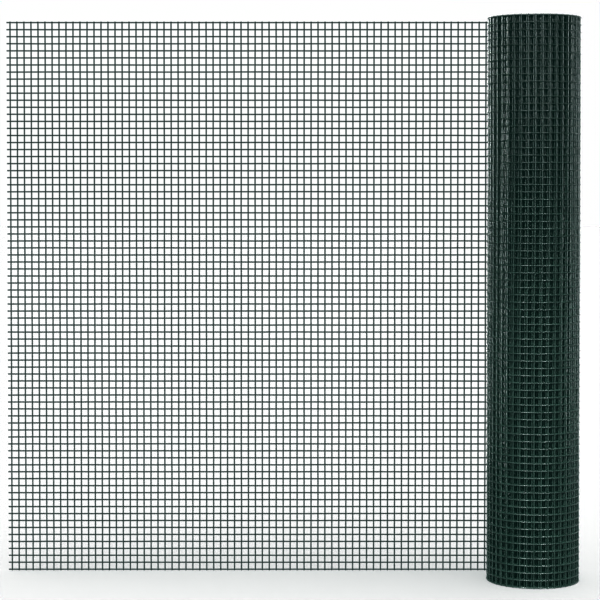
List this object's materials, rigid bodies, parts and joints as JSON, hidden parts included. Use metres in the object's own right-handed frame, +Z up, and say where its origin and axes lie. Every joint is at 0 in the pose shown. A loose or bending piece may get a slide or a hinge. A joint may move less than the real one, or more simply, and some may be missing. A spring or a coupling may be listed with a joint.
{
  "type": "roll of welded wire mesh fencing",
  "caption": "Standing roll of dark green plastic-coated welded square mesh, its free end drawn out flat to one side.",
  "frame": {"origin": "on the roll's axis, in the plane of its lower end", "axes": "+Z up along the roll's axis, -X along the flat stretch towards its free end, +Y towards the side of the roll that the flat stretch leaves"},
  "size_m": [1.0316, 0.17, 1],
  "materials": {
    "coated_wire": "glossy dark bluish-green plastic coating on steel wire"
  },
  "bodies": {
    "root": {"rolled_mesh": "coated_wire", "mesh_strip_01": "coated_wire", "mesh_strip_02": "coated_wire", "mesh_strip_03": "coated_wire", "mesh_strip_04": "coated_wire", "mesh_strip_05": "coated_wire", "mesh_strip_06": "coated_wire", "mesh_strip_07": "coated_wire", "mesh_strip_08": "coated_wire", "mesh_strip_09": "coated_wire", "mesh_strip_10": "coated_wire", "mesh_strip_11": "coated_wire", "mesh_strip_12": "coated_wire", "mesh_strip_13": "coated_wire", "mesh_strip_14": "coated_wire", "mesh_strip_15": "coated_wire"}
  },
  "joints": []
}
